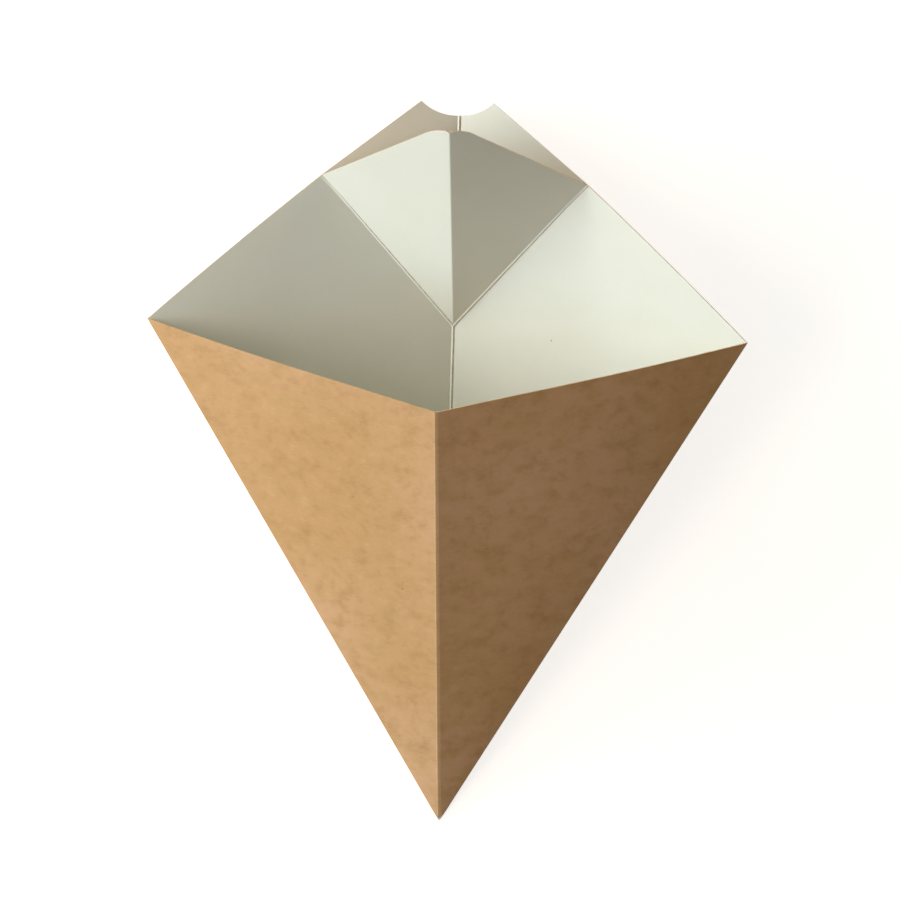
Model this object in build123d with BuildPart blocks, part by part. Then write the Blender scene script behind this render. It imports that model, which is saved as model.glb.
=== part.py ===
# Paper fries cone with a sauce pocket, folded and glued from one creased board blank.
#
# The blank is three fans that share one tip: a rear fan, a front fan and an inner fan.
# Each fan has a crease down its middle, so each is a pair of pages, like an open book.
# The inner fan lies glued against the rear fan. Above the pocket's vertex it is pushed
# forward along two slanted creases, and the space behind it is the sauce pocket.
#
# The squeezed-open cone lies on its left rear page, which is flat on the floor.
# +Y runs from the tip to the mouth, +X across to the page that is turned up.
# Flat sizes are measured on the unfolded fans, from the tip, across and along the middle crease.
# All sizes are in millimetres.
from math import atan2, cos, radians, sin, tan
from build123d import *
import os

# Board
board = 0.35  # thickness of the coated kraft board
edge_radius = 0.3  # round backs of the two side folds
bead_radius = 0.3  # raised bead along the inner creases
bead_lift = 0.25  # how far the bead's axis stands forward of its crease
bead_start = 6.0  # the middle bead starts this far from the tip, where there is room for it

# Fans, as they lie flat
corner_x = 113.1  # side corner, out from the middle crease
corner_y = 191.0  # side corner, up from the tip
front_top = 178.4  # top of the front fan, on its middle crease
peak_x = 14.4  # peak of the rear fan, out from the middle crease
peak_y = 270.0  # peak of the rear fan, up from the tip
notch_depth = 6.3  # thumb notch between the two rear peaks

# Sauce pocket
pocket_vertex = 186.7  # bottom of the pocket, on the middle crease
pocket_corner_x = 49.2  # side corner of the pocket, on the fans' slanted edge
crown_radius = 14.5  # rounded top of the pocket's wall
nick_x = 1.2  # small nick in the crown at the crease, half its width
nick_depth = 0.7

# Opening
back_fold = 36.2  # how far the right rear page turns up from the floor, in degrees

# Points on the flat fans, right side
slope_angle = atan2(peak_y - corner_y, corner_x - peak_x)
pocket_corner_y = peak_y - (pocket_corner_x - peak_x) * tan(slope_angle)
edge_apex = peak_y + peak_x * tan(slope_angle)  # where the slanted edges would meet
crown_centre = edge_apex - crown_radius / cos(slope_angle)
nick_angle = atan2(nick_x, crown_radius)
crown_y = crown_centre + crown_radius * cos(nick_angle) - nick_depth

# The thumb notch is cut through the folded rear fan, straight from the front
half_fold = radians(back_fold) / 2
notch_x = peak_x * cos(half_fold)
notch_radius = (notch_x**2 + notch_depth**2) / (2 * notch_depth)
notch_centre = peak_y - notch_depth + notch_radius

# A page reaches this far past an outward crease, so that two pages meet in a mitre there
mitre = board * tan(half_fold)

# The origin is on the floor, under the middle of the part's box
turned_x = corner_x * cos(radians(back_fold))
tip = Vector((corner_x - turned_x) / 2, -peak_y / 2, board)

# Pages of the rear and inner fans, with the inside of the cone on their Z side
left_page = Plane(tip)
right_page = left_page.rotated((0, -back_fold, 0))
forward = (left_page.z_dir + right_page.z_dir).normalized()


def on_page(page, x, y):
    """The point at the flat place (x, y) of a page."""
    return page.from_local_coords((x, y, 0))


def mirror_through(a, b, c):
    """A function that mirrors a page in the plane through three points and turns its Z side over."""
    normal = (b - a).cross(c - a).normalized()

    def reflect(direction):
        return direction - normal * (2 * direction.dot(normal))

    def mirrored(page):
        return Plane(a + reflect(page.origin - a), x_dir=reflect(page.x_dir), z_dir=-reflect(page.z_dir))

    return mirrored


# The front fan mirrors the rear fan in the plane of the two side creases, and the pocket's
# front wall mirrors the rear fan in the plane of the two slanted creases
vertex = on_page(left_page, 0, pocket_vertex)
left_corner = on_page(left_page, -corner_x, corner_y)
right_corner = on_page(right_page, corner_x, corner_y)
left_pocket_corner = on_page(left_page, -pocket_corner_x, pocket_corner_y)
right_pocket_corner = on_page(right_page, pocket_corner_x, pocket_corner_y)
to_front = mirror_through(tip, left_corner, right_corner)
to_pocket_wall = mirror_through(vertex, left_pocket_corner, right_pocket_corner)


def rear_outline(side):
    """Half of the rear fan, up to where the slanted edges would meet."""
    with BuildLine() as outline:
        Polyline(
            (-side * mitre, 2 * mitre),
            (0, 0),
            (side * corner_x, corner_y),
            (0, edge_apex),
            (-side * mitre, edge_apex),
            close=True,
        )
    make_face(outline.edges())


def inner_outline(side):
    """Half of the inner fan, below the pocket's slanted crease."""
    with BuildLine() as outline:
        Polyline(
            (0, 0),
            (side * corner_x, corner_y),
            (side * pocket_corner_x, pocket_corner_y),
            (0, pocket_vertex),
            close=True,
        )
    make_face(outline.edges())


def on_crown(side, angle):
    """The flat point of the crown's arc at an angle from the middle crease."""
    return (side * crown_radius * sin(angle), crown_centre + crown_radius * cos(angle))


def pocket_wall_outline(side):
    """Half of the pocket's front wall: slanted crease, slanted edge, rounded crown and its nick."""
    with BuildLine() as outline:
        Polyline(
            on_crown(side, nick_angle),
            (0, crown_y),
            (-side * mitre, crown_y),
            (-side * mitre, pocket_vertex),
            (0, pocket_vertex),
            (side * pocket_corner_x, pocket_corner_y),
            on_crown(side, slope_angle),
        )
        ThreePointArc(
            on_crown(side, slope_angle),
            on_crown(side, (slope_angle + nick_angle) / 2),
            on_crown(side, nick_angle),
        )
    make_face(outline.edges())


def front_outline(side):
    """Half of the front fan: its top edge dips from the side corner to the middle crease."""
    with BuildLine() as outline:
        Polyline(
            (-side * mitre, 2 * mitre),
            (0, 0),
            (side * corner_x, corner_y),
            (0, front_top),
            (-side * mitre, front_top),
            close=True,
        )
    make_face(outline.edges())


def rod(radius, start, end):
    """A round rod from one point to another."""
    with Locations(Plane(start, z_dir=end - start)):
        Cylinder(radius, (end - start).length, align=(Align.CENTER, Align.CENTER, Align.MIN))


with BuildPart() as fries_cone:
    # Rear fan, and the thumb notch through both its pages
    for side, page in ((-1, left_page), (1, right_page)):
        with BuildSketch(page):
            rear_outline(side)
        extrude(amount=-board)
    with BuildSketch(Plane(on_page(left_page, 0, notch_centre), z_dir=forward)):
        Circle(notch_radius)
    extrude(amount=notch_radius, both=True, mode=Mode.SUBTRACT)

    # Inner fan, the pocket's wall and the front fan
    for side, page in ((-1, left_page), (1, right_page)):
        with BuildSketch(page):
            inner_outline(side)
        extrude(amount=board)
        with BuildSketch(to_pocket_wall(page)):
            pocket_wall_outline(side)
        extrude(amount=board)
        with BuildSketch(to_front(page)):
            front_outline(side)
        extrude(amount=board)

    # Round backs of the side folds
    rod(edge_radius, tip, left_corner)
    rod(edge_radius, tip, right_corner)

    # Beads of the inner creases
    lift = forward * bead_lift
    rod(bead_radius, on_page(left_page, 0, bead_start) + lift, vertex + lift)
    rod(bead_radius, vertex + lift, left_pocket_corner + lift)
    rod(bead_radius, vertex + lift, right_pocket_corner + lift)
    with Locations(vertex):
        Sphere(bead_radius)

fries_cone.part.label = "fries_cone"

os.makedirs("parts", exist_ok=True)
export_step(fries_cone.part, "parts/fries_cone.step")
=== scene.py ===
# %% [markdown]
# # A paper fries cone with a sauce pocket
#
# One creased board blank, folded and glued. Three fans share one tip: a rear fan, a front fan and
# an inner fan that is glued against the rear one. Each fan has a crease down its middle. Above the
# pocket's vertex the inner fan is pushed forward, and the space behind it holds the sauce.
#
# The cone is squeezed open and lies on its left rear page. The kraft side of the board is outside,
# and its white coating is inside.
#
# Lengths are in millimetres on the flat fans, and turn into metres when a fan is folded.

# %%
from math import acos, atan2, cos, pi, radians, sin

import bmesh
import bpy
import numpy as np
from mathutils import Matrix, Vector


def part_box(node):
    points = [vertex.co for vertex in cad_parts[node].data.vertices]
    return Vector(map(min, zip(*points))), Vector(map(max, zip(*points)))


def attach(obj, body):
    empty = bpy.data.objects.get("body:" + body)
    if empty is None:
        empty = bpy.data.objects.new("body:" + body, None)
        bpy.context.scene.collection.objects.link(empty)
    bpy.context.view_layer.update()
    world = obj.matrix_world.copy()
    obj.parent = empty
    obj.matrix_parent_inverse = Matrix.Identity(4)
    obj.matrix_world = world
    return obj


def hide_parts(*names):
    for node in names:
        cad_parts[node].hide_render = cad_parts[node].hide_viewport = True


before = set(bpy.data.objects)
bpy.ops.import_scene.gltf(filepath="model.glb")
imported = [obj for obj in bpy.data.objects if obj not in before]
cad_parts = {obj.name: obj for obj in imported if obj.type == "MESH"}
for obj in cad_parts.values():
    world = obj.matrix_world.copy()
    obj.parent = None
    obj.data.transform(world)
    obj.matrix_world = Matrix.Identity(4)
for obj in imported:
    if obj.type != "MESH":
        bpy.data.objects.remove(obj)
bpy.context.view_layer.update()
low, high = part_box("fries_cone")
print("packed box, in metres:", np.round(np.array(high) - np.array(low), 4))

# %% [markdown]
# ## Sizes of the flat blank
#
# All three fans have the same corners. The slanted edge swells a little from the side corner to the
# pocket's corner, and runs straight from there to the peak. The thumb notch is cut a little to the
# left of the crease, as a die does that isn't quite in register.

# %%
MM = 0.001

board = 0.35  # thickness of the board
corner = np.array([113.1, 191.0])  # side corner: out from the middle crease, up from the tip
peak = np.array([13.7, 269.3])  # peak of the rear fan
front_top = 178.1  # top of the front fan on its crease
front_bow = 1.25  # how far the front pages bow outwards
bow_skew = 1.5  # more than 1 moves the widest part of the bow towards the side crease
front_lean = 0.8  # how far to the left the front crease leans at its top
notch_depth = 5.5  # thumb notch between the rear peaks
notch_shift = 0.5  # how far the notch lies to the left of the crease
pocket_vertex = 186.7  # bottom of the sauce pocket on the middle crease
pocket_corner_x = 49.2  # from the middle crease to the pocket's corner on the slanted edge
crown_top = 277.5  # top of the pocket's wall, along its own crease
crown_radius = 14.5
nick_x = 1.2  # small nick in the crown at the crease
nick_depth = 0.6
edge_swell = 1.8  # how far the slanted edge stands out of a straight line at the pocket's corner
back_fold = radians(36.2)  # how far the right rear page turns up from the floor
packed_length = 270.0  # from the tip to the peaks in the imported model
rear_band = 0.4  # half the width of the flat band on the crease of the rear and inner fans
front_band = 0.38
wall_band = 0.15
bend = 0.15  # half the width of each small bend beside a crease's band

slope = (peak[1] - corner[1]) / (corner[0] - peak[0])
slope_angle = atan2(slope, 1)
half_fold = back_fold / 2
# The model is centred in x and y, and the outside of its left rear page lies on the floor.
tip = np.array([corner[0] * (1 - cos(back_fold)) / 2, -packed_length / 2, board])
print("slanted edge at", round(np.degrees(slope_angle), 1), "degrees")

# %% [markdown]
# ## Folding a fan
#
# A fan in the round is a place on its crease, a direction along the crease, one across it, and one
# towards the fries. Its two pages rise from the crease like an open book. A scored crease isn't
# sharp: the press leaves a narrow flat band between two small bends, and the pages are exactly flat
# away from it. The front's pages also bow outwards, as board does when the cone is squeezed open,
# and its crease leans a little to the left.


# %%
class Fold:
    """A crease in the round, with the pages on its two sides."""

    def __init__(self, origin, along, across, forward, band):
        self.origin = origin
        self.along = along
        self.across = across
        self.forward = forward
        self.band = band
        self.bow = 0.0
        self.lean = 0.0

    def mirrored(self, a, b, c, band):
        """This fold in the mirror that passes through three points, with its own crease band."""
        normal = np.cross(b - a, c - a)
        normal = normal / np.linalg.norm(normal)

        def reflect(v):
            return v - 2 * np.dot(v, normal) * normal

        place = a + reflect(self.origin - a)
        return Fold(place, reflect(self.along), reflect(self.across), reflect(self.forward), band)

    def swell(self, x, y):
        """How far a point of the page bows outwards: bow t sin(pi w^skew).

        w goes from 0 at the crease to 1 at the side crease, by the angle at the tip, and t is
        the distance from the tip over the length of the side crease.
        """
        turn = np.clip(np.arctan2(np.abs(x), y) / atan2(*corner), 0, 1)
        return self.bow * np.hypot(x, y) / np.hypot(*corner) * np.sin(pi * turn**bow_skew)

    def shift(self, x, y):
        """How far a point moves across the page: -lean (y - r |x|) / front_top.

        r is the side corner's y over its x, so the side creases stay where they are.
        """
        return -self.lean * (y - np.abs(x) * corner[1] / corner[0]) / front_top

    def place(self, x, y, lift=0.0):
        """The place of the flat point (x, y), lifted off the page towards its inner side.

        origin + y along + (x cos(h) + shift) across + s sin(h) forward + (lift - swell) n. Here s
        is |x| outside the crease's band and constant inside it, with a parabola between them, and
        n is the unit vector along cos(h) forward - sin(h) s' across. h is half the fold's angle.
        """
        x, y, lift = (np.asarray(v, float)[..., None] for v in (x, y, lift))
        past = np.abs(x) - self.band
        turn = np.clip((past + bend) / (2 * bend), 0, 1)
        rise = np.where(past > bend, np.abs(x), self.band + bend * turn**2)
        normal = cos(half_fold) * self.forward - sin(half_fold) * turn * np.sign(x) * self.across
        normal = normal / np.linalg.norm(normal, axis=-1, keepdims=True)
        page = self.origin + y * self.along + (x * cos(half_fold) + self.shift(x, y)) * self.across
        page = page + rise * sin(half_fold) * self.forward
        return page + (lift - self.swell(x, y)) * normal


rear = Fold(
    tip,
    np.array([0, 1, 0]),
    np.array([cos(half_fold), 0, sin(half_fold)]),
    np.array([-sin(half_fold), 0, cos(half_fold)]),
    rear_band,
)
pocket_corner = np.array([pocket_corner_x, peak[1] - (pocket_corner_x - peak[0]) * slope])
vertex = tip + [0, pocket_vertex, 0]
corners = [rear.place(side * corner[0], corner[1]) for side in (-1, 1)]
pocket_corners = [rear.place(side * pocket_corner[0], pocket_corner[1]) for side in (-1, 1)]
front = rear.mirrored(tip, *corners, band=front_band)
wall = rear.mirrored(vertex, *pocket_corners, band=wall_band)
front.bow = front_bow
front.lean = front_lean
print("front crease ends at", np.round(front.place(0, front_top), 1))

# %% [markdown]
# ## Outlines
#
# Each fan is a bundle of straight rays from one point to an outline. The outline starts on the
# crease and ends at the side, and its points crowd together near the crease, where the board bends.


# %%
notch_count = 26  # points along each part of an outline
slant_count = 60
pocket_crease_count = 44
inner_slant_count = 34
nick_count = 14
crown_count = 18
wall_edge_count = 34
front_count = 70
slant_crowding = 1.2  # above 1, the points crowd together near the part's start
nick_crowding = 1.3
notch_crowding = 1.6
crease_crowding = 2.4


def crowded(count, power):
    """Steps from 0 to 1, raised to a power."""
    return np.linspace(0, 1, count) ** power


def line(a, b, steps):
    """Points of the straight line from a to b."""
    return np.asarray(a) + (np.asarray(b) - np.asarray(a)) * steps[:, None]


def slanted_edge(x):
    """Points of the slanted edge, from the chord between the side corner and the peak.

    With u from 0 at the side corner to 1 at the peak, and c at the pocket's corner, they stand off
    the chord by swell (1 - (1 - u / c)^2) up to c, and by swell (1 - u) / (1 - c) after it.
    """
    u = (corner[0] - x) / (corner[0] - peak[0])
    c = (corner[0] - pocket_corner_x) / (corner[0] - peak[0])
    off = edge_swell * np.where(u < c, 1 - (1 - u / c) ** 2, (1 - u) / (1 - c))
    y = peak[1] - (x - peak[0]) * slope
    return np.stack([x + off * sin(slope_angle), y + off * cos(slope_angle)], axis=-1)


pocket_edge = slanted_edge(np.array([pocket_corner_x]))[0]


def rear_outline(side):
    """Thumb notch, an arc through the peak, and then the slanted edge.

    The notch is moved to the left by the whole shift, and the edge by less and less from the peak
    to the pocket's corner.
    """
    radius = (peak[0] ** 2 + notch_depth**2) / (2 * notch_depth)
    shift = side * notch_shift
    start = np.arcsin(shift / radius)
    end = np.arcsin(peak[0] / radius)
    angle = start + crowded(notch_count, notch_crowding) * (end - start)
    bottom = peak[1] - notch_depth + radius
    notch = np.stack([radius * np.sin(angle) - shift, bottom - radius * np.cos(angle)], axis=-1)
    edge = slanted_edge(peak[0] + (corner[0] - peak[0]) * crowded(slant_count, slant_crowding))
    near_peak = np.clip((pocket_corner_x - edge[:, 0]) / (pocket_corner_x - peak[0]), 0, 1)
    edge[:, 0] -= shift * near_peak
    return np.concatenate([notch, edge[1:]])


def inner_outline():
    """The pocket's slanted crease, and then the slanted edge."""
    crease = line((0, pocket_vertex), pocket_edge, crowded(pocket_crease_count, crease_crowding))
    edge = slanted_edge(np.linspace(pocket_corner_x, corner[0], inner_slant_count))
    return np.concatenate([crease, edge[1:]])


def wall_outline():
    """The nick, the crown's arc and the tangent from its end to the pocket's corner."""
    centre = np.array([0, crown_top - crown_radius])
    away = pocket_edge - centre
    end = atan2(*away) - acos(crown_radius / np.hypot(*away))
    angles = np.linspace(nick_x / crown_radius, end, crown_count)
    arc = centre + crown_radius * np.stack([np.sin(angles), np.cos(angles)], axis=-1)
    nick = line((0, arc[0, 1] - nick_depth), arc[0], crowded(nick_count, nick_crowding))
    edge = line(arc[-1], pocket_edge, np.linspace(0, 1, wall_edge_count))
    return np.concatenate([nick, arc[1:], edge[1:]])


def front_outline():
    """The front's top edge, which rises from the crease to the side corner."""
    return line((0, front_top), corner, crowded(front_count, crease_crowding))


print("pocket corner at", np.round(pocket_edge, 1))

# %% [markdown]
# ## Sheets with two sides and cut edges
#
# A sheet is two lifted copies of the fan's grid, joined around its rim. The flat coordinates become
# its UV map, so that the paper's grain follows the paper.


# %%
merge_distance = 1e-7  # in metres
sharp_angle = radians(40)  # edges that turn by more than this stay sharp


def fan_grid(apex_y, rows, right, left=None):
    """Flat points apex + t (outline - apex), for both sides of the crease.

    The left outline mirrors the right one where none is given.
    """
    mirrored = (right if left is None else left) * [-1, 1]
    both = np.concatenate([mirrored[:0:-1], right])
    apex = np.array([0, apex_y])
    steps = np.linspace(0, 1, rows)
    return apex + (both - apex) * steps[:, None, None]


def quads(rows, columns, start=0, flip=False):
    """Corner numbers of the faces of a grid."""
    numbers = start + np.arange(rows * columns).reshape(rows, columns)
    around = [numbers[:-1, :-1], numbers[:-1, 1:], numbers[1:, 1:], numbers[1:, :-1]]
    faces = np.stack(around, axis=-1).reshape(-1, 4)
    return faces[:, ::-1] if flip else faces


def rim(rows, columns):
    """Numbers of a grid's border points, in order around it."""
    numbers = np.arange(rows * columns).reshape(rows, columns)
    return np.concatenate([numbers[0, :-1], numbers[:-1, -1], numbers[-1, :0:-1], numbers[:0:-1, 0]])


def make_piece(name, points, faces, slots, materials, uv):
    """A mesh object from points in millimetres, with a material for each face."""
    mesh = bpy.data.meshes.new(name)
    mesh.from_pydata((points * MM).tolist(), [], faces.tolist())
    for material in materials:
        mesh.materials.append(material)
    mesh.polygons.foreach_set("material_index", np.asarray(slots, np.int32))
    used = np.empty(len(mesh.loops), np.int32)
    mesh.loops.foreach_get("vertex_index", used)
    layer = mesh.uv_layers.new(name="flat")
    layer.data.foreach_set("uv", (uv[used] * MM).ravel())
    tidy = bmesh.new()
    tidy.from_mesh(mesh)
    bmesh.ops.remove_doubles(tidy, verts=tidy.verts, dist=merge_distance)
    bmesh.ops.recalc_face_normals(tidy, faces=tidy.faces)
    tidy.to_mesh(mesh)
    tidy.free()
    mesh.shade_smooth()
    mesh.set_sharp_from_angle(angle=sharp_angle)
    piece = bpy.data.objects.new(name, mesh)
    bpy.context.scene.collection.objects.link(piece)
    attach(piece, "root")
    print(name, len(mesh.polygons), "faces")
    return piece


def sheet(name, fold, grid, lifts, materials, shift):
    """A closed sheet between two lifts, with its own materials on each side and on the cut rim."""
    rows, columns = grid.shape[:2]
    x, y = grid[..., 0].ravel(), grid[..., 1].ravel()
    points = np.concatenate([fold.place(x, y, lift) for lift in lifts])
    uv = np.tile(grid.reshape(-1, 2) + shift, (2, 1))
    border = rim(rows, columns)
    onward = np.roll(border, -1)
    edge = np.stack([border, onward, onward + rows * columns, border + rows * columns], axis=-1)
    first = quads(rows, columns)
    second = quads(rows, columns, rows * columns, flip=True)
    slots = np.repeat([0, 1, 2], [len(first), len(second), len(edge)])
    return make_piece(name, points, np.concatenate([first, second, edge]), slots, materials, uv)


# %% [markdown]
# ## Materials
#
# A value in a shader is wrapped so that plain arithmetic makes its nodes. The kraft side has
# blotches, fibres and a few dark specks, with painted shade and a painted highlight on each crease.
# The coated side is smooth, with much fainter traces of these, and painted shade along one side of
# each bead. Places and distances in a material are in metres on the flat map, where the fans lie
# side by side.


# %%
class Value:
    """A shader socket. Arithmetic on it adds Math nodes to its tree."""

    def __init__(self, tree, socket):
        self.tree = tree
        self.socket = socket

    def math(self, operation, *others, clamp=False):
        """A Math node of this value and the others."""
        node = self.tree.nodes.new("ShaderNodeMath")
        node.operation = operation
        node.use_clamp = clamp
        for socket, value in zip(node.inputs, (self, *others)):
            connect(self.tree, socket, value)
        return Value(self.tree, node.outputs[0])

    def __add__(self, other):
        return self.math("ADD", other)

    def __sub__(self, other):
        return self.math("SUBTRACT", other)

    def __mul__(self, other):
        return self.math("MULTIPLY", other)

    def __truediv__(self, other):
        return self.math("DIVIDE", other)

    def clamped(self):
        """This value, kept between 0 and 1."""
        return self.math("ADD", 0.0, clamp=True)

    def between(self, start, end):
        """0 at start, 1 at end, and straight between them."""
        return ((self - start) / (end - start)).clamped()


def connect(tree, socket, value):
    """Links a value to a socket, or sets the socket to a plain number or colour."""
    if isinstance(value, Value):
        tree.links.new(value.socket, socket)
    else:
        socket.default_value = value


def add_node(tree, kind, out=0, inputs=None, **settings):
    """A node with its settings and inputs, as the value that one of its outputs gives."""
    node = tree.nodes.new(kind)
    for name, value in settings.items():
        setattr(node, name, value)
    for name, value in (inputs or {}).items():
        connect(tree, node.inputs[name], value)
    return Value(tree, node.outputs[out])


def srgb(red, green, blue):
    """A colour written as it looks on a screen, from 0 to 255, as linear light."""
    levels = np.array([red, green, blue]) / 255
    linear = np.where(levels > 0.04045, ((levels + 0.055) / 1.055) ** 2.4, levels / 12.92)
    return (*linear.tolist(), 1.0)


def noise(tree, place, scale, detail=3.0, roughness=0.55):
    """Cloudy noise, whose clouds are 1 / scale wide."""
    inputs = {"Vector": place, "Scale": scale, "Detail": detail, "Roughness": roughness}
    return add_node(tree, "ShaderNodeTexNoise", "Fac", inputs)


def stretched(tree, place, angle, along, across):
    """Coordinates turned by an angle and stretched, so that a noise of them is drawn out in fibres."""
    inputs = {"Vector": place, "Rotation": (0, 0, angle), "Scale": (along, across, 1)}
    return add_node(tree, "ShaderNodeMapping", 0, inputs)


def blend(tree, amount, a, b):
    """The colour a, turning into b by the amount."""
    inputs = {"Factor": amount, "A": a, "B": b}
    node = tree.nodes.new("ShaderNodeMix")
    node.data_type = "RGBA"
    for socket in node.inputs:
        if socket.enabled and socket.name in inputs:
            connect(tree, socket, inputs[socket.name])
    return Value(tree, [s for s in node.outputs if s.enabled][0])


def specks(tree, place, scale, size, share):
    """Small round specks, on a share of the cells of a grid with that scale.

    A speck's radius is a random part of the size, and the size is a part of the cell's width.
    """
    cells = tree.nodes.new("ShaderNodeTexVoronoi")
    connect(tree, cells.inputs["Vector"], place)
    cells.inputs["Scale"].default_value = scale
    distance = Value(tree, cells.outputs["Distance"])
    chances = add_node(tree, "ShaderNodeSeparateColor", 0, {"Color": Value(tree, cells.outputs["Color"])})
    other = Value(tree, chances.socket.node.outputs[1])
    return distance.math("LESS_THAN", other * size) * chances.math("LESS_THAN", share)


def new_material(name):
    """An empty material, its tree and its surface node."""
    material = bpy.data.materials.new(name)
    material.use_nodes = True
    tree = material.node_tree
    return material, tree, tree.nodes["Principled BSDF"]


def flat_place(tree):
    """Flat coordinates of the blank, in metres."""
    return add_node(tree, "ShaderNodeTexCoord", "UV")


def from_line(tree, place, spacing):
    """Distance from the nearest of many lines up the flat map, which lie a spacing in mm apart."""
    across = add_node(tree, "ShaderNodeSeparateXYZ", 0, {"Vector": place})
    return across.math("PINGPONG", spacing * MM / 2)


map_step = 150  # how far apart the fans lie on the flat map, in mm
strip_step = 40  # how far apart the beads lie on it
shade_fade_start = 0.00035  # painted shade darkens a crease up to here, and a painted highlight lightens it from there on
shade_fade_end = 0.00045
highlight_fade_start = 0.0006  # the painted highlight fades out from here on
highlight_fade_end = 0.0008
fibre_colour = srgb(222, 188, 150)
# Colours of the painted shade on the kraft creases and of the painted highlight beside it
crease_shade_colour = srgb(138, 112, 68)
crease_highlight_colour = srgb(230, 204, 168)
speck_colour = srgb(92, 62, 38)
faint_speck_colour = srgb(110, 98, 78)
# Colour of the painted shade along one side of each bead
bead_shade_colour = srgb(160, 134, 98)
bead_shade_start = (0.00125, 0.0014)  # the painted shade on a bead fades in between these distances
bead_shade_end = (0.0016, 0.00175)  # and out again between these


def kraft(name, base, dark, light, olive):
    """Uncoated brown board: blotches, fine fibres both ways, a few specks, and painted shade with a
    painted highlight on the crease.
    """
    material, tree, surface = new_material(name)
    place = flat_place(tree)
    blotches = noise(tree, place, scale=210, detail=4, roughness=0.62)
    clouds = noise(tree, place, scale=75, detail=3, roughness=0.5)
    drift = noise(tree, place, scale=11, detail=1)
    hue = noise(tree, stretched(tree, place, angle=0.0, along=110, across=150), 1)
    lengthwise = stretched(tree, place, angle=0.25, along=330, across=1500)
    crosswise = stretched(tree, place, angle=1.35, along=380, across=1700)
    fibres = noise(tree, lengthwise, 1, roughness=0.6)
    cross = noise(tree, crosswise, 1, roughness=0.6)
    threads = (fibres.between(0.6, 0.78) + cross.between(0.62, 0.8)) * 0.5
    mottle = (blotches - 0.5) * 1.4 + (clouds - 0.5) * 0.9 + (fibres - 0.5) * 0.4 + (cross - 0.5) * 0.4
    colour = blend(tree, drift.between(0.35, 0.65), base, light)
    colour = blend(tree, hue.between(0.45, 0.68) * 0.5, colour, olive)
    colour = blend(tree, (mottle * -1.0).between(0.0, 0.8), colour, dark)
    colour = blend(tree, (mottle * 0.8 + threads * 0.7).between(0.1, 1.0), colour, fibre_colour)
    crease = from_line(tree, place, map_step)
    # Painted shade darkens the crease, and a painted highlight lightens a line on each side of it.
    crease_shade = crease.between(shade_fade_end, shade_fade_start)
    colour = blend(tree, crease_shade * 0.45, colour, crease_shade_colour)
    crease_highlight = crease.between(shade_fade_start, shade_fade_end) * crease.between(highlight_fade_end, highlight_fade_start)
    colour = blend(tree, crease_highlight * fibres.between(0.3, 0.6) * 0.5, colour, crease_highlight_colour)
    marks = specks(tree, place, scale=95, size=0.045, share=0.14) * 0.7
    dots = specks(tree, place, scale=330, size=0.11, share=0.03) * 0.5
    colour = blend(tree, (marks + dots).clamped(), colour, speck_colour)
    connect(tree, surface.inputs["Base Color"], colour)
    connect(tree, surface.inputs["Roughness"], (fibres - 0.5) * 0.12 + 0.86)
    surface.inputs["Specular IOR Level"].default_value = 0.25
    height = fibres * 0.5 + cross * 0.5 + blotches * 0.4
    bump = {"Height": height, "Strength": 0.2, "Distance": 0.0004}
    connect(tree, surface.inputs["Normal"], add_node(tree, "ShaderNodeBump", 0, bump))
    return material


def coating(name, base, warm, bead_shade=0.0):
    """White coated side: nearly even, with faint clouds and very few specks, and painted shade along one
    side of a bead.
    """
    material, tree, surface = new_material(name)
    place = flat_place(tree)
    clouds = noise(tree, place, scale=34)
    grain = noise(tree, stretched(tree, place, angle=0.35, along=500, across=1800), 1, detail=2)
    shade = (clouds - 0.5) * 0.9 + (grain - 0.5) * 0.3
    colour = blend(tree, shade.between(-0.3, 0.4), base, warm)
    if bead_shade:
        # Painted shade along one side of a bead, in uneven patches.
        across = from_line(tree, place, strip_step)
        side = across.between(*bead_shade_start) - across.between(*bead_shade_end)
        bead_shade_patches = noise(tree, place, scale=900, detail=2).between(0.4, 0.6)
        colour = blend(tree, side * (bead_shade_patches * 0.6 + 0.4) * bead_shade, colour, bead_shade_colour)
    marks = specks(tree, place, scale=80, size=0.032, share=0.12) * 0.7
    colour = blend(tree, marks.clamped(), colour, faint_speck_colour)
    connect(tree, surface.inputs["Base Color"], colour)
    connect(tree, surface.inputs["Roughness"], (clouds - 0.5) * 0.15 + 0.6)
    surface.inputs["Specular IOR Level"].default_value = 0.3
    bump = {"Height": grain + clouds * 0.6, "Strength": 0.07, "Distance": 0.0003}
    connect(tree, surface.inputs["Normal"], add_node(tree, "ShaderNodeBump", 0, bump))
    return material


outside = kraft("kraft", srgb(202, 161, 114), srgb(176, 135, 89), srgb(212, 171, 133), srgb(191, 156, 104))
cut = kraft("cut_edge", srgb(190, 160, 124), srgb(166, 132, 96), srgb(204, 176, 142), srgb(180, 154, 116))
inside = coating("white_coating", srgb(232, 236, 230), srgb(226, 229, 219))
# The front fan has the same white coating, painted warmer so that the light it throws back browns the
# shade on the left inner page.
shaded = coating("front_coating", srgb(238, 226, 206), srgb(231, 218, 196))
# The beads' coating, with painted shade along one side of each bead.
creased = coating("creased_coating", srgb(236, 238, 232), srgb(228, 230, 219), bead_shade=0.8)

# %% [markdown]
# ## The four fans
#
# The inner fan lies on the rear fan. Each sheet has the materials of its first side, its second side
# and its cut edges. The pocket's wall turns its coated side to the fries. On the flat map it stays
# joined to the inner fan, and the front fan lies between that one and the rear fan.

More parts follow.
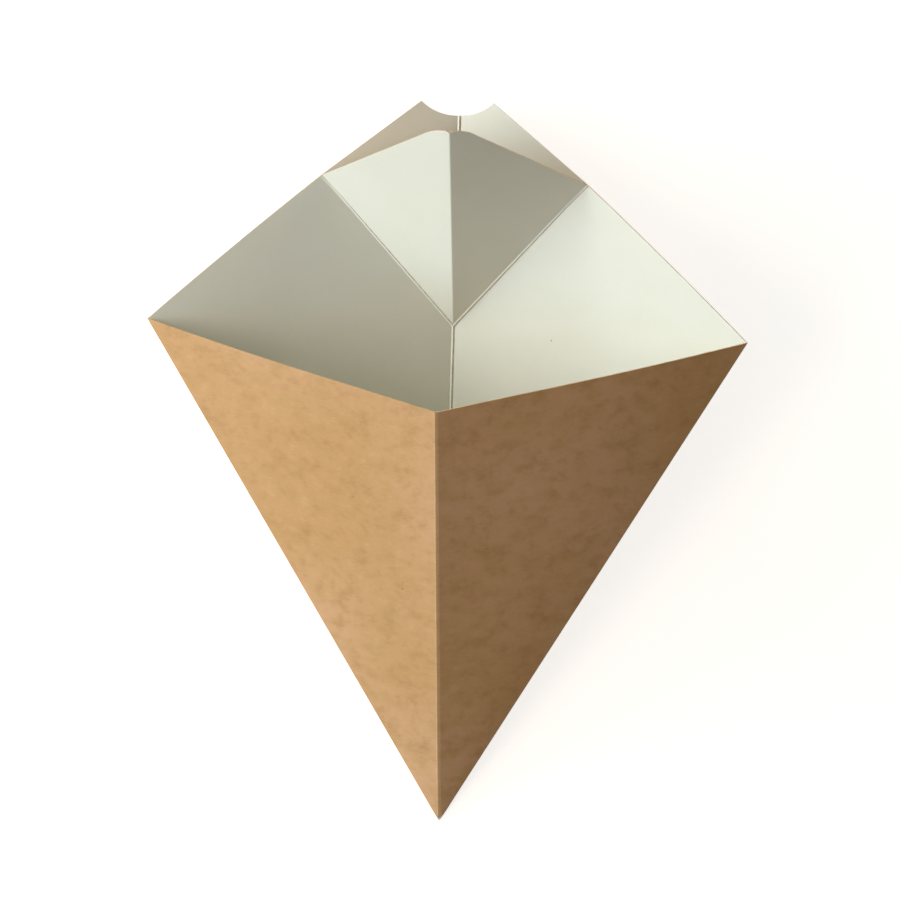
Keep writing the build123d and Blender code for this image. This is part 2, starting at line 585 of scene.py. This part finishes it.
# %%
glue = 0.02  # gap between the rear and inner fans
long_rows = 70  # rows of each fan's grid, from its lowest point to its outline
inner_rows = 60
wall_rows = 40
rear_grid = fan_grid(0, long_rows, rear_outline(1), rear_outline(-1))
inner_grid = fan_grid(0, inner_rows, inner_outline())
wall_grid = fan_grid(pocket_vertex, wall_rows, wall_outline())
front_grid = fan_grid(0, long_rows, front_outline())
faces_in = [inside, outside, cut]
faces_out = [outside, inside, cut]
faces_front = [shaded, outside, cut]

pieces = [
    sheet("rear_fan", rear, rear_grid, (0, -board), faces_in, [0, 0]),
    sheet("inner_fan", rear, inner_grid, (board, glue), faces_in, [2 * map_step, 0]),
    sheet("pocket_wall", wall, wall_grid, (0, -board), faces_out, [2 * map_step, 0]),
    sheet("front_fan", front, front_grid, (0, -board), faces_front, [map_step, 0]),
]

# %% [markdown]
# ## Side folds and crease beads
#
# The board turns round each side crease in a tight arc. Along the inner creases it bulges into a
# thin bead, with painted shade along one side of it. The pocket's beads grow wider near their ends.


# %%
strip_width = 2  # of a strip on the flat map
first_strip = 8  # where the first bead lies on it, in steps
fold_rows = 60
fold_columns = 14
bead_rows = 90
bead_columns = 17
bead_half_width = 0.6
bead_height = 0.42
bead_start = 12.0  # where the middle bead starts, from the tip
rear_bead_start = 4  # where the rear bead starts, from the pocket's vertex
pocket_flare = 1.3  # how much wider the pocket's beads are at their ends
flare_start = 0.8  # where a bead starts to widen, as a part of its length
flare_length = 0.2
flare_power = 1.5


def strip(name, path, sections, materials, uv_shift):
    """A grid whose rows are the sections along a path."""
    rows, columns = sections.shape[:2]
    points = sections.reshape(-1, 3)
    along = np.linalg.norm(path - path[0], axis=-1)
    across = np.linspace(0, strip_width, columns)
    uv = np.stack(np.broadcast_arrays(across[None, :], along[:, None]), axis=-1).reshape(-1, 2) + uv_shift
    faces = quads(rows, columns)
    return make_piece(name, points, faces, np.zeros(len(faces)), materials, uv)


def side_fold(name, side):
    """An arc of the board's thickness round a side crease, from the front page to the rear page."""
    steps = np.linspace(0, 1, fold_rows)
    x, y = side * corner[0] * steps, corner[1] * steps
    crease = rear.place(x, y)
    start = front.place(x, y, -board) - front.place(x, y)
    end = rear.place(x, y, -board) - rear.place(x, y)
    turn = np.linspace(0, 1, fold_columns)[None, :, None]
    mid = start[:, None] * (1 - turn) + end[:, None] * turn
    arc = board * mid / np.linalg.norm(mid, axis=-1, keepdims=True)
    return strip(name, crease, crease[:, None] + arc, [outside], [map_step + strip_step * side, 0])


def unit(v):
    """The vector v at length 1."""
    return v / np.linalg.norm(v)


def bead(name, start, end, towards_a, towards_b, strips_on, flare=0.0):
    """A thin bulge along an inner crease, with a bell-shaped section between two points.

    Its height is (1 + cos(pi a)) / 2 times the bead's, with a from -1 to 1 across it. Towards its
    end it gets wider by the flare, and lower by as much.
    """
    steps = np.linspace(0, 1, bead_rows)[:, None, None]
    across = np.linspace(-1, 1, bead_columns)[:, None]
    along = unit(end - start)
    side_a, side_b = (unit(v - along * np.dot(v, along)) for v in (towards_a, towards_b))
    wider = 1 + flare * np.clip((steps - flare_start) / flare_length, 0, 1) ** flare_power
    reach = np.where(across < 0, side_a, side_b) * np.abs(across) * bead_half_width * wider
    lift = unit(side_a + side_b) * (np.cos(across * pi) + 1) / 2 * bead_height / wider
    path = line(start, end, steps[:, 0, 0])
    shift = [(first_strip + strips_on) * strip_step, strip_step]
    return strip(name, path, path[:, None] + reach + lift, [creased], shift)


pieces.append(side_fold("left_side_fold", -1))
pieces.append(side_fold("right_side_fold", 1))

pocket_floor = rear.place(0, pocket_vertex, board)
left_page = rear.place(-corner[0], 0) - tip
right_page = rear.place(corner[0], 0) - tip
middle_start = rear.place(0, bead_start, board)
pieces.append(bead("middle_bead", middle_start, pocket_floor, left_page, right_page, 0))

notch_bottom = rear_outline(1)[0, 1]
rear_start = rear.place(0, pocket_vertex + rear_bead_start)
rear_end = rear.place(0, notch_bottom)
pieces.append(bead("rear_bead", rear_start, rear_end, left_page, right_page, 2))

for side, name, strips_on in ((-1, "left_pocket_bead", 0), (1, "right_pocket_bead", 1)):
    end = rear.place(side * pocket_edge[0], pocket_edge[1], board)
    down = rear.place(side * corner[0], corner[1], board) - pocket_floor
    up = wall.place(side * nick_x, crown_top, -board) - pocket_floor
    sides = (down, up) if side < 0 else (up, down)
    pieces.append(bead(name, pocket_floor, end, *sides, strips_on, pocket_flare))

for piece in pieces:
    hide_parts("fries_cone")

# %% [markdown]
# ## Floor, light and camera
#
# A pale floor takes the cone's soft shadow. Most light comes low from the left and from beyond the
# mouth. It falls on the left front page and the right inner page, and only grazes the right front
# page. That page gets more from the warm lamp that hangs higher, so it is darker and browner.


# %%
floor_size = 8
floor_white = 0.9
floor_glow = 0.72  # light that only the camera sees, on top of the floor's own


def pale_floor():
    """A floor that is plain white to the camera wherever no shadow falls on it."""
    bpy.ops.mesh.primitive_plane_add(size=floor_size)
    floor = bpy.context.object
    floor.name = "floor"
    material, tree, surface = new_material("pale_floor")
    surface.inputs["Base Color"].default_value = (floor_white, floor_white, floor_white, 1)
    surface.inputs["Roughness"].default_value = 0.9
    glow = tree.nodes.new("ShaderNodeEmission")
    ray = add_node(tree, "ShaderNodeLightPath", "Is Camera Ray")
    mix = tree.nodes.new("ShaderNodeAddShader")
    connect(tree, glow.inputs["Strength"], ray * floor_glow)
    tree.links.new(surface.outputs[0], mix.inputs[0])
    tree.links.new(glow.outputs[0], mix.inputs[1])
    tree.links.new(mix.outputs[0], tree.nodes["Material Output"].inputs["Surface"])
    floor.data.materials.append(material)


lamp_distance = 1.6
lamp_width = 1.1
lamp_height = 0.5
lamp_aim = Vector((0, 0, 0.02))
lamps = (  # name, height angle, bearing from +Y round to +X, watts and colour
    ("key", 10, 270, 22.4, (0.79, 0.9, 0.93)),
    ("high_left", 45, 270, 6.6, (1.0, 0.76, 0.58)),
    ("far_left", 10, 315, 12.0, (0.97, 0.97, 0.87)),
    ("near_left", 25, 225, 3.2, (1.0, 0.85, 0.65)),
    ("far_right", 10, 45, 13.0, (1.0, 0.92, 0.76)),
)
world_colour = (0.93, 0.98, 0.9, 1)
world_strength = 0.06


def lamp_place(rise, bearing):
    """A place at the lamps' distance, by its height angle and its bearing."""
    level = lamp_distance * cos(radians(rise))
    east = level * sin(radians(bearing))
    north = level * cos(radians(bearing))
    return (east, north, lamp_distance * sin(radians(rise)))


def area_lamp(name, place, power, colour):
    """A rectangular lamp at a place, turned to the lamps' aim."""
    data = bpy.data.lights.new(name, "AREA")
    data.shape = "RECTANGLE"
    data.size = lamp_width
    data.size_y = lamp_height
    data.energy = power
    data.color = colour
    lamp = bpy.data.objects.new(name, data)
    lamp.location = place
    lamp.rotation_euler = (lamp_aim - Vector(place)).to_track_quat("-Z", "Y").to_euler()
    bpy.context.scene.collection.objects.link(lamp)


pale_floor()
for name, rise, bearing, power, colour in lamps:
    area_lamp(name, lamp_place(rise, bearing), power, colour)

world = bpy.data.worlds.new("room")
bpy.context.scene.world = world
world.use_nodes = True
world.node_tree.nodes["Background"].inputs["Color"].default_value = world_colour
world.node_tree.nodes["Background"].inputs["Strength"].default_value = world_strength

# %% [markdown]
# The camera looks down into the mouth from above and a little to the left, through a long lens.

# %%
camera_place = np.array([-0.4257, 0.3633, 1.7454])
view_forward = np.array([0.23811, -0.19516, -0.95143])
view_up = np.array([0.01943, 0.98037, -0.19623])

camera_data = bpy.data.cameras.new("camera")
camera_data.lens = 200
camera_data.sensor_width = 36
camera_data.clip_end = 100
camera = bpy.data.objects.new("camera", camera_data)
view_right = np.cross(view_forward, view_up)
axes = np.stack([view_right, view_up, -view_forward], axis=-1)
facing = Matrix(axes.tolist()).to_4x4()
camera.matrix_world = Matrix.Translation(Vector(camera_place)) @ facing
bpy.context.scene.collection.objects.link(camera)
bpy.context.scene.camera = camera

bpy.context.scene.view_settings.view_transform = "Standard"
